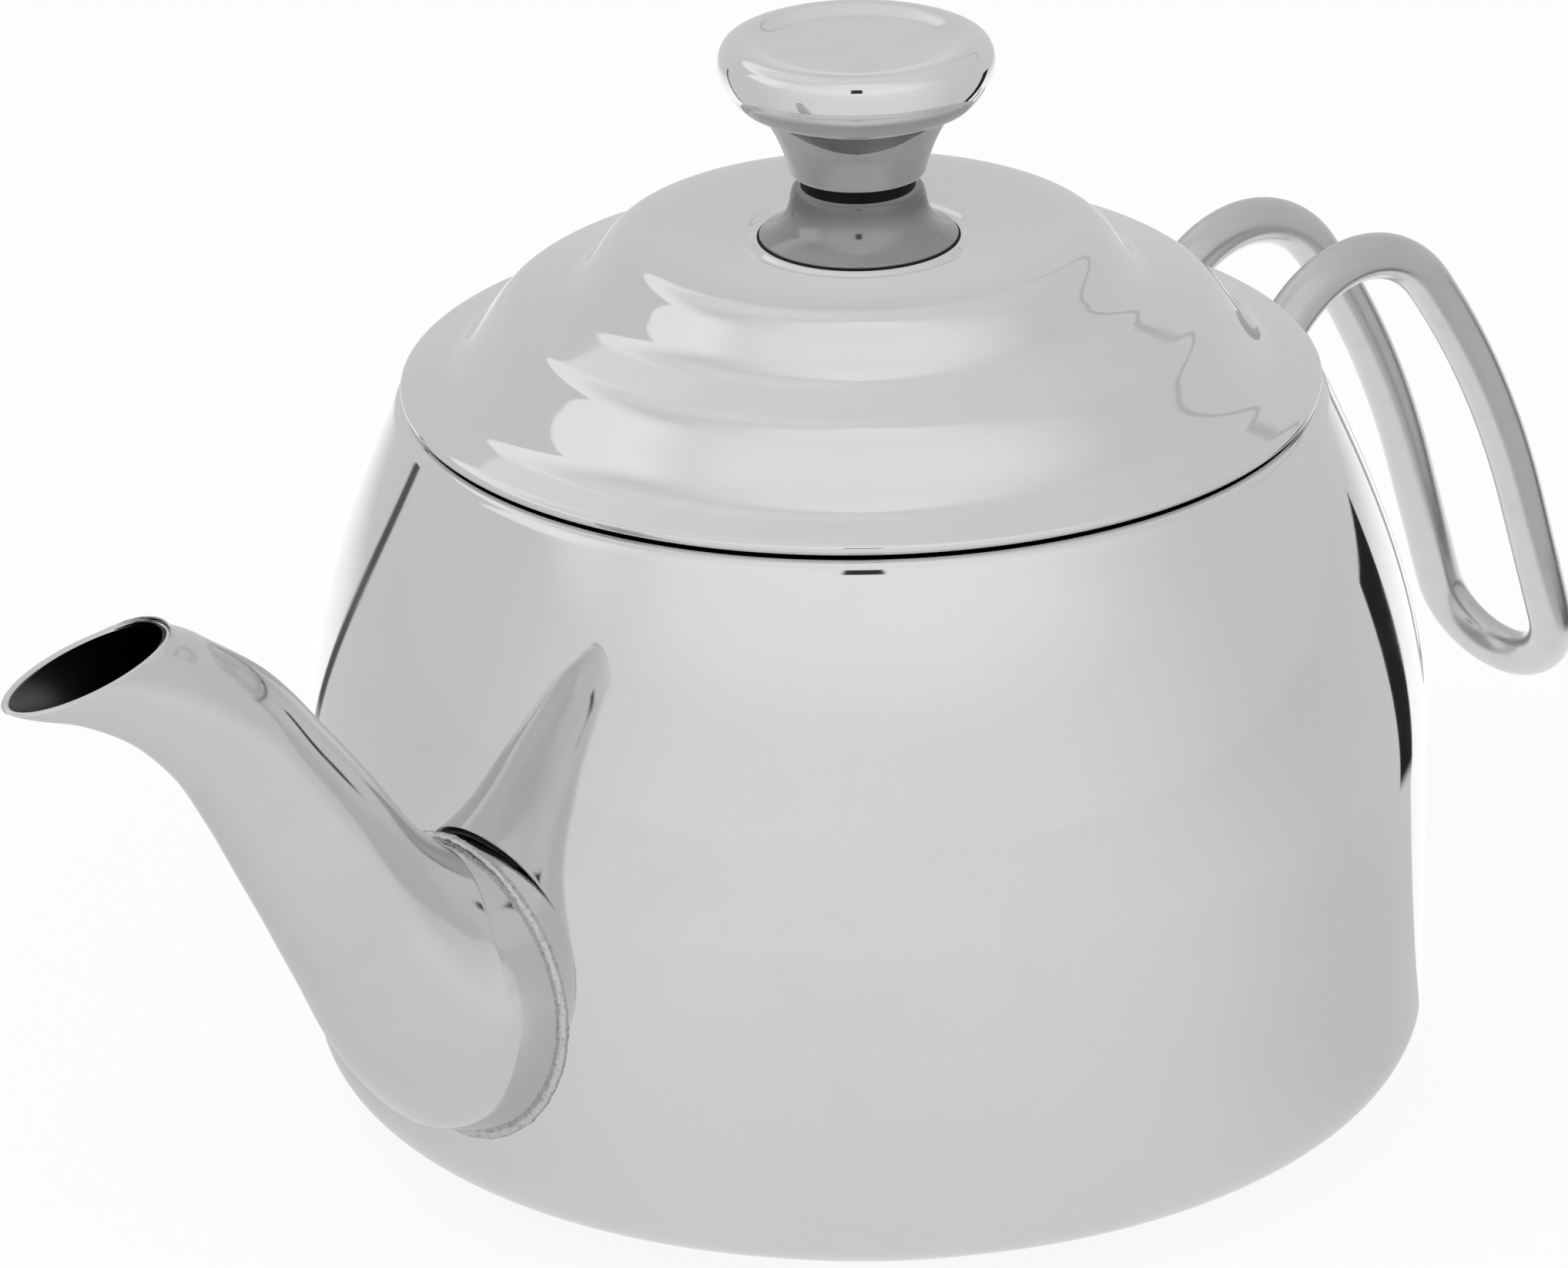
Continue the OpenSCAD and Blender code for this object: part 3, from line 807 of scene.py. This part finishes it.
WALL = 0.73
floor_mat = bpy.data.materials.new("floor_paper")
floor_mat.use_nodes = True
paper = Board(floor_mat.node_tree)
path = paper.node("ShaderNodeLightPath")
by_camera = paper.out(path, "Is Camera Ray")
mirrored = paper.upper(paper.out(path, "Is Glossy Ray"), paper.out(path, "Is Transmission Ray"))
across, away, _ = paper.parts(paper.place())
reach = paper.only("SQRT", across * across + away * away)
# as the metal sees it, the floor glows with painted light and shade: a bright patch right behind
# the pot, between the table's two edges, a dark gap past the right one, a darker left edge, more
# light towards the front and a painted shadow close round the pot
right_in = (away - across * 1.25 + 0.083) / (reach + 0.02)
right_out = (away - across * 0.83 + 0.055) / (reach + 0.02)
left_in = (away + across * 0.86 + 0.001) / (reach + 0.02)
behind = (paper.ease(right_in, -0.004, 0.004) * paper.ease(left_in, 0.0, 0.02)
          * paper.ease(reach, 0.60, 0.18))
slot = (paper.ease(right_out, -0.003, 0.003) * paper.ease(right_in, 0.003, -0.003)
        * paper.ease(reach, 0.140, 0.155) * paper.ease(reach, 0.66, 0.62))
edge = (paper.ease(paper.only("ABSOLUTE", left_in + 0.022), 0.038, 0.018)
        * paper.ease(across, -0.12, -0.16))
toward = away * -1.0 / (reach + 0.001)
near = paper.ease(toward, -0.1, 0.95)
# painted shadow close round the pot, seen only in reflections
shade = paper.ease(reach, 0.19, 0.07)
glow = ((WALL + near * 0.17 + behind * 0.48 - shade * 0.07)
        * (1.0 - slot * 0.97) * (1.0 - edge * 0.85))
tone = paper.out(paper.node("ShaderNodeCombineColor", inputs={0: glow, 1: glow, 2: glow}))
lit = paper.node("ShaderNodeBsdfDiffuse", inputs={"Color": (0.80, 0.80, 0.80, 1)})
plain = paper.node("ShaderNodeEmission", inputs={"Color": (1, 1, 1, 1), "Strength": 1.0})
# the metal sees this painted glow instead of a lit floor
inside = paper.node("ShaderNodeEmission", inputs={"Color": tone, "Strength": 1.0})
seen = paper.node("ShaderNodeMixShader", inputs={
    0: by_camera * 0.9, 1: paper.out(lit), 2: paper.out(plain)})
both = paper.node("ShaderNodeMixShader", inputs={
    0: mirrored, 1: paper.out(seen), 2: paper.out(inside)})
paper.node("ShaderNodeOutputMaterial", inputs={0: paper.out(both)})
R = 6.0
floor = stage_mesh("floor", [(-R, -R, 0), (R, -R, 0), (R, R, 0), (-R, R, 0)], [(0, 1, 2, 3)],
                   floor_mat)
floor.location = (0, 0, -0.0002)
floor.rotation_euler = (0, 0, TURN)


# ---- studio tent ---------------------------------------------------------

world = bpy.data.worlds.new("studio")
bpy.context.scene.world = world
world.use_nodes = True
sky = Board(world.node_tree)
way = sky.out(sky.node("ShaderNodeVectorRotate", {"rotation_type": "Z_AXIS"}, {
    "Vector": sky.out(sky.node("ShaderNodeTexCoord"), "Generated"), "Angle": -TURN}))
wx, wy, wz = sky.parts(way)
flat = sky.only("SQRT", wx * wx + wy * wy)
rise = sky.sum("ARCTAN2", wz, flat) * (180 / math.pi)
side = sky.sum("ARCTAN2", wx, wy) * (180 / math.pi)
off = sky.only("ABSOLUTE", side)
toward = sky.only("COSINE", (off - 180.0) * (math.pi / 180))
front = sky.ease(toward, -0.1, 0.95)
# the tent is brightest up behind and to the left, and low in front of the pot
overhead = sky.ease(rise, 30, 78)
band = (sky.ease(rise, 34, 42) * sky.ease(rise, 92, 52, 0.25, 1.0)
        * sky.ease(sky.only("ABSOLUTE", side + 30.0), 62, 12))
apron = front * (0.17 + sky.ease(rise, 13, 27) * 0.12) * sky.ease(rise, 60, 35, 0.6, 1.0)
# the tent's rear panel is darker than its left neighbour and is sewn along its top edge
left_seam = rise - 31.0 + side * 0.07
right_seam = rise - 31.0 + side * 0.155
rear_left = sky.ease(side, -75.0, -73.0) * sky.ease(left_seam, 0.4, -0.4)
left_panel = (sky.ease(side, -6, -20) * sky.ease(side, -125, -95) * sky.ease(rise, 14, 20)
              * sky.ease(left_seam, 16, 0) * (1.0 - rear_left))
thread = (sky.ease(sky.only("ABSOLUTE", right_seam), 1.1, 0.4) * sky.ease(side, 5, 9)
          * sky.ease(side, 74, 70))
level = ((WALL + 0.02 + overhead * 0.09 + band * 0.10 + apron + left_panel * 0.30)
         * (1.0 - thread * 0.22))
# a dark stand far out in front
stand = (sky.ease(sky.only("ABSOLUTE", off - 180.0), 6.0, 4.5)
         * sky.ease(rise, 28.0, 29.0) * sky.ease(rise, 46, 43))
level = level * (1.0 - stand * 0.96)
studio = sky.node("ShaderNodeBackground", inputs={"Color": (1, 1, 1, 1), "Strength": level})
white = sky.node("ShaderNodeBackground", inputs={"Color": (1, 1, 1, 1), "Strength": 1.0})
sees = sky.out(sky.node("ShaderNodeLightPath"), "Is Camera Ray")
sky_mix = sky.node("ShaderNodeMixShader", inputs={
    0: sees, 1: sky.out(studio), 2: sky.out(white)})
sky.node("ShaderNodeOutputWorld", inputs={0: sky.out(sky_mix)})

for name, spot, size, watts in (("key", (-0.6, -0.3, 1.0), 0.9, 3.0),
                                ("fill", (0.8, -0.6, 0.9), 0.9, 2.0)):
    lamp = bpy.data.lights.new(name, "AREA")
    lamp.shape, lamp.size, lamp.energy = "DISK", size, watts
    lamp_stand = bpy.data.objects.new(name, lamp)
    bpy.context.scene.collection.objects.link(lamp_stand)
    lamp_stand.location = turned(*spot)
    lamp_stand.rotation_mode = "QUATERNION"
    lamp_stand.rotation_quaternion = (
        Vector((0, 0, 0.06)) - lamp_stand.location).to_track_quat("-Z", "Y")
    lamp_stand.visible_glossy = False
